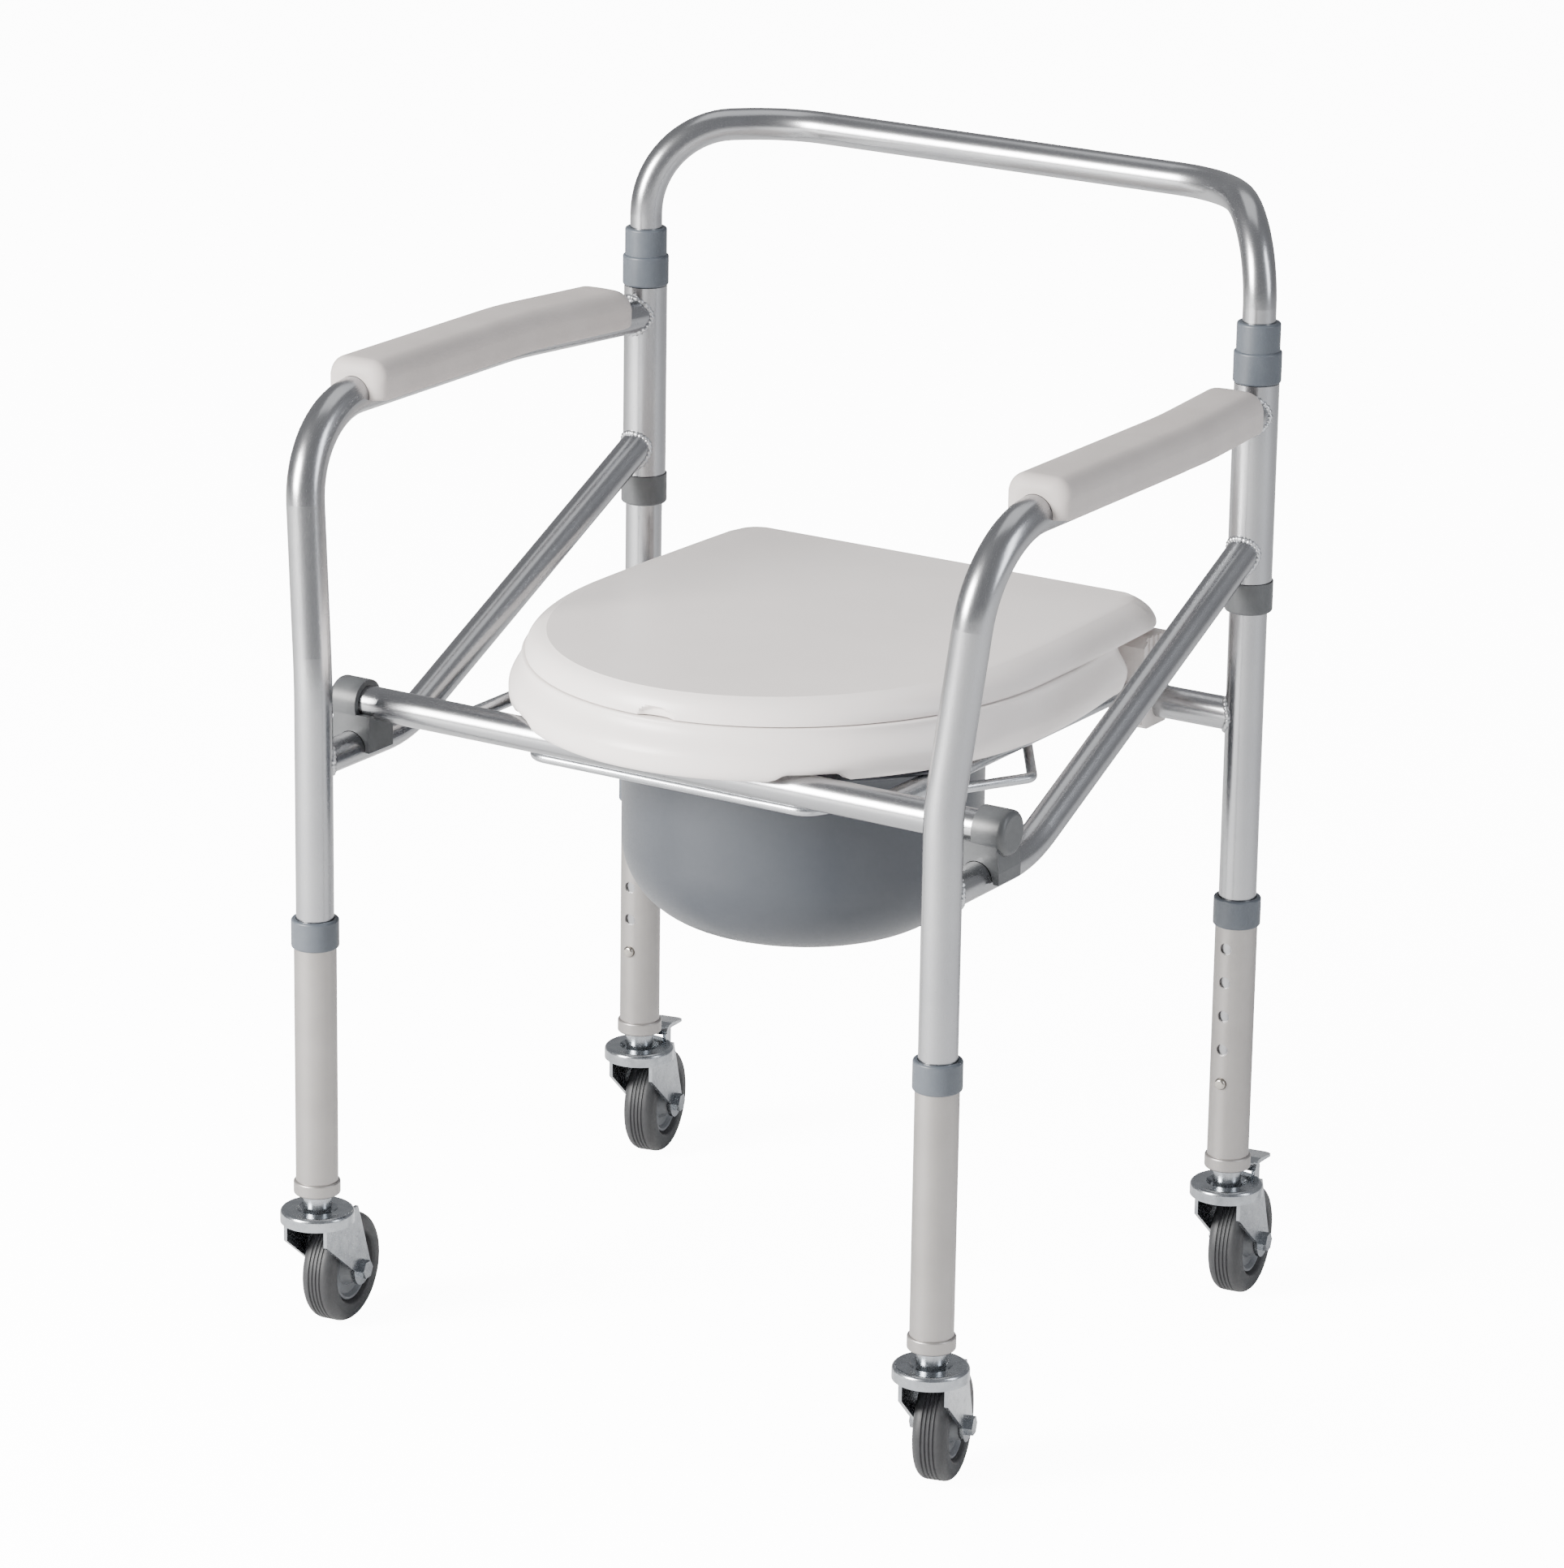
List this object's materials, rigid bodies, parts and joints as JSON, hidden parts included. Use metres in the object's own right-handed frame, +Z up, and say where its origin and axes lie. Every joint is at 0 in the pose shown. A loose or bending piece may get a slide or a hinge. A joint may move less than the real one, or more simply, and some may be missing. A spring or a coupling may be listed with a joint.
{
  "type": "commode chair",
  "caption": "Folding commode chair on casters: tubular arms, splayed pads, bowed back rail, hinged ring and lid, lift-out bucket and telescopic legs.",
  "frame": {"origin": "middle of the footprint box, on the floor", "axes": "+X to the right seen from the front, +Y to the rear, +Z up"},
  "size_m": [0.562, 0.496, 0.7711],
  "materials": {
    "aluminium_tube": "satin anodised",
    "aluminium_extension": "matte anodised",
    "collar_grey": "moulded",
    "clip_dark": "moulded",
    "pad_foam": "smooth skin",
    "pin_steel": "plated",
    "zinc_steel": "zinc plated",
    "wheel_rubber": "matte",
    "wire_steel": "plated wire",
    "bucket_plastic": "satin moulded",
    "seat_plastic": "satin moulded"
  },
  "bodies": {
    "rear_frame": {"upright_left": "aluminium_tube", "upright_right": "aluminium_tube", "rear_cross_tube": "aluminium_tube", "pivot_collar_left": "clip_dark", "pivot_collar_right": "clip_dark", "lock_pin_left": "pin_steel", "lock_pin_right": "pin_steel", "top_collar_left": "collar_grey", "top_collar_right": "collar_grey"},
    "back_bar": {"back_bar": "aluminium_tube"},
    "seat_frame": {"front_tube": "aluminium_tube", "seat_clip_left": "clip_dark", "seat_clip_right": "clip_dark", "seat_rails": "wire_steel", "bucket_rack": "wire_steel", "hinge_block_left": "seat_plastic", "hinge_block_right": "seat_plastic", "hinge_pins": "pin_steel"},
    "seat_ring": {"seat_ring": "seat_plastic"},
    "lid": {"lid": "seat_plastic"},
    "bucket": {"bucket": "bucket_plastic"},
    "side_frame_left": {"sleeve_left": "aluminium_tube", "side_tube_left": "aluminium_tube", "brace_left": "aluminium_tube", "arm_pad_left": "pad_foam"},
    "side_frame_right": {"sleeve_right": "aluminium_tube", "side_tube_right": "aluminium_tube", "brace_right": "aluminium_tube", "arm_pad_right": "pad_foam"},
    "leg_front_left": {"leg_extension_front_left": "aluminium_extension", "leg_collar_front_left": "collar_grey", "caster_stem_front_left": "zinc_steel"},
    "button_front_left": {"snap_button_front_left": "pin_steel"},
    "caster_front_left": {"caster_fork_front_left": "zinc_steel", "axle_front_left": "zinc_steel"},
    "wheel_front_left": {"wheel_front_left": "wheel_rubber"},
    "leg_front_right": {"leg_extension_front_right": "aluminium_extension", "leg_collar_front_right": "collar_grey", "caster_stem_front_right": "zinc_steel"},
    "button_front_right": {"snap_button_front_right": "pin_steel"},
    "caster_front_right": {"caster_fork_front_right": "zinc_steel", "axle_front_right": "zinc_steel"},
    "wheel_front_right": {"wheel_front_right": "wheel_rubber"},
    "leg_rear_left": {"leg_extension_rear_left": "aluminium_extension", "leg_collar_rear_left": "collar_grey", "caster_stem_rear_left": "zinc_steel"},
    "button_rear_left": {"snap_button_rear_left": "pin_steel"},
    "caster_rear_left": {"caster_fork_rear_left": "zinc_steel", "axle_rear_left": "zinc_steel"},
    "wheel_rear_left": {"wheel_rear_left": "wheel_rubber"},
    "pedal_rear_left": {"brake_pedal_rear_left": "zinc_steel"},
    "leg_rear_right": {"leg_extension_rear_right": "aluminium_extension", "leg_collar_rear_right": "collar_grey", "caster_stem_rear_right": "zinc_steel"},
    "button_rear_right": {"snap_button_rear_right": "pin_steel"},
    "caster_rear_right": {"caster_fork_rear_right": "zinc_steel", "axle_rear_right": "zinc_steel"},
    "wheel_rear_right": {"wheel_rear_right": "wheel_rubber"},
    "pedal_rear_right": {"brake_pedal_rear_right": "zinc_steel"}
  },
  "joints": [
    {"name": "seat_fold", "type": "hinge", "parent": "rear_frame", "child": "seat_frame", "pos_m": [0, 0.16695, 0.4205], "axis": [-1, 0, 0], "range_deg": [0, 84]},
    {"name": "side_spread_left", "type": "hinge", "parent": "rear_frame", "child": "side_frame_left", "pos_m": [-0.24, 0.16695, 0.58], "axis": [0, 0, -1], "range_deg": [0, 20]},
    {"name": "side_spread_right", "type": "hinge", "parent": "rear_frame", "child": "side_frame_right", "pos_m": [0.24, 0.16695, 0.58], "axis": [0, 0, 1], "range_deg": [0, 20]},
    {"name": "back_bar_lift", "type": "slide", "parent": "rear_frame", "child": "back_bar", "axis": [0, 0, 1], "range_m": [0, 0.045]},
    {"name": "ring_lift", "type": "hinge", "parent": "seat_frame", "child": "seat_ring", "pos_m": [0, 0.16745, 0.462], "axis": [-1, 0, 0], "range_deg": [0, 93]},
    {"name": "lid_lift", "type": "hinge", "parent": "seat_ring", "child": "lid", "pos_m": [0, 0.16745, 0.462], "axis": [1, 0, 0], "range_deg": [-93, 0]},
    {"name": "bucket_lift", "type": "slide", "parent": "seat_frame", "child": "bucket", "axis": [0, 0, 1], "range_m": [0, 0.013]},
    {"name": "leg_extend_front_left", "type": "slide", "parent": "side_frame_left", "child": "leg_front_left", "axis": [0, 0, -1], "range_m": [0, 0.096]},
    {"name": "button_press_front_left", "type": "slide", "parent": "leg_front_left", "child": "button_front_left", "axis": [0, -1, 0], "range_m": [0, 0.0032], "stiffness_N_per_m": 400, "springref_m": -0.003},
    {"name": "caster_swivel_front_left", "type": "hinge", "parent": "leg_front_left", "child": "caster_front_left", "pos_m": [-0.24, -0.22305, 0.085], "axis": [0, 0, 1], "continuous": true},
    {"name": "wheel_spin_front_left", "type": "hinge", "parent": "caster_front_left", "child": "wheel_front_left", "pos_m": [-0.2439, -0.19129, 0.0375], "axis": [0.9925, 0.1219, 0], "continuous": true},
    {"name": "leg_extend_front_right", "type": "slide", "parent": "side_frame_right", "child": "leg_front_right", "axis": [0, 0, -1], "range_m": [0, 0.096]},
    {"name": "button_press_front_right", "type": "slide", "parent": "leg_front_right", "child": "button_front_right", "axis": [0, -1, 0], "range_m": [0, 0.0032], "stiffness_N_per_m": 400, "springref_m": -0.003},
    {"name": "caster_swivel_front_right", "type": "hinge", "parent": "leg_front_right", "child": "caster_front_right", "pos_m": [0.24, -0.22305, 0.085], "axis": [0, 0, 1], "continuous": true},
    {"name": "wheel_spin_front_right", "type": "hinge", "parent": "caster_front_right", "child": "wheel_front_right", "pos_m": [0.23172, -0.19214, 0.0375], "axis": [0.9659, 0.2588, 0], "continuous": true},
    {"name": "leg_extend_rear_left", "type": "slide", "parent": "rear_frame", "child": "leg_rear_left", "axis": [0, 0, -1], "range_m": [0, 0.096]},
    {"name": "button_press_rear_left", "type": "slide", "parent": "leg_rear_left", "child": "button_rear_left", "axis": [0, 1, 0], "range_m": [0, 0.0032], "stiffness_N_per_m": 400, "springref_m": -0.003},
    {"name": "caster_swivel_rear_left", "type": "hinge", "parent": "leg_rear_left", "child": "caster_rear_left", "pos_m": [-0.24, 0.16695, 0.085], "axis": [0, 0, 1], "continuous": true},
    {"name": "wheel_spin_rear_left", "type": "hinge", "parent": "caster_rear_left", "child": "wheel_rear_left", "pos_m": [-0.24665, 0.19825, 0.0375], "axis": [0.9781, 0.2079, 0], "continuous": true},
    {"name": "brake_rear_left", "type": "hinge", "parent": "caster_rear_left", "child": "pedal_rear_left", "pos_m": [-0.24416, 0.18651, 0.095], "axis": [0.9781, 0.2079, 0], "range_deg": [-10, 0]},
    {"name": "leg_extend_rear_right", "type": "slide", "parent": "rear_frame", "child": "leg_rear_right", "axis": [0, 0, -1], "range_m": [0, 0.096]},
    {"name": "button_press_rear_right", "type": "slide", "parent": "leg_rear_right", "child": "button_rear_right", "axis": [0, 1, 0], "range_m": [0, 0.0032], "stiffness_N_per_m": 400, "springref_m": -0.003},
    {"name": "caster_swivel_rear_right", "type": "hinge", "parent": "leg_rear_right", "child": "caster_rear_right", "pos_m": [0.24, 0.16695, 0.085], "axis": [0, 0, 1], "continuous": true},
    {"name": "wheel_spin_rear_right", "type": "hinge", "parent": "caster_rear_right", "child": "wheel_rear_right", "pos_m": [0.23555, 0.19864, 0.0375], "axis": [0.9903, 0.1392, 0], "continuous": true},
    {"name": "brake_rear_right", "type": "hinge", "parent": "caster_rear_right", "child": "pedal_rear_right", "pos_m": [0.23722, 0.18676, 0.095], "axis": [0.9903, 0.1392, 0], "range_deg": [-10, 0]}
  ],
  "couplings": [
    {"joint": "side_spread_left", "follows": "seat_fold", "ratio": 0.22},
    {"joint": "side_spread_right", "follows": "seat_fold", "ratio": 0.22}
  ]
}
